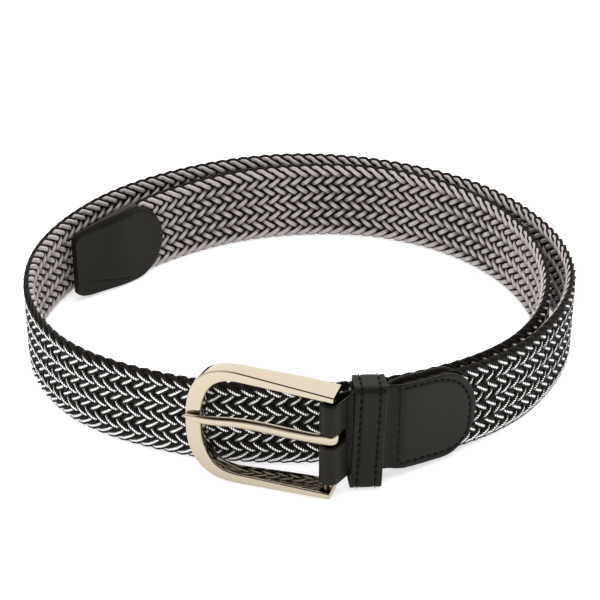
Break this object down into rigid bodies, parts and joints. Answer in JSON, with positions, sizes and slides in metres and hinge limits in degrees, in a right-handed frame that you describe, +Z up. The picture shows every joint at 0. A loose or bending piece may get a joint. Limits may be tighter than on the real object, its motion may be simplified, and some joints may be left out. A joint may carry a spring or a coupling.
{
  "type": "elastic stretch belt",
  "caption": "Braided elastic stretch belt with leather chape, keeper and tip and a cast prong buckle, unfastened and standing on its edge in a loose coil.",
  "frame": {"origin": "centre of the bounding box in plan, on the surface that the belt stands on", "axes": "+Z up from the strap's lower edge, -Y towards the buckle, +X to the right of a viewer who faces the buckle"},
  "size_m": [0.2202, 0.2068, 0.049],
  "materials": {
    "woven_elastic": "flat braid of black elastic cords with a white thread beside each",
    "leather": "smooth black finished leather, slightly waxy",
    "nickel_plate": "polished pale nickel plate on cast zinc"
  },
  "bodies": {
    "belt": {"strap": "woven_elastic", "chape": "leather", "keeper": "leather", "tip": "leather"},
    "buckle": {"buckle_frame": "nickel_plate"},
    "tongue": {"prong": "nickel_plate"}
  },
  "joints": [
    {"name": "buckle_swing", "type": "hinge", "parent": "belt", "child": "buckle", "pos_m": [0.01062, -0.09788, 0.02354], "axis": [0.0265, -0.0089, 0.9996], "range_deg": [0, 100]},
    {"name": "prong_swing", "type": "hinge", "parent": "buckle", "child": "tongue", "pos_m": [0.01062, -0.09788, 0.02354], "axis": [0.0265, -0.0089, 0.9996], "range_deg": [0, 50]}
  ]
}
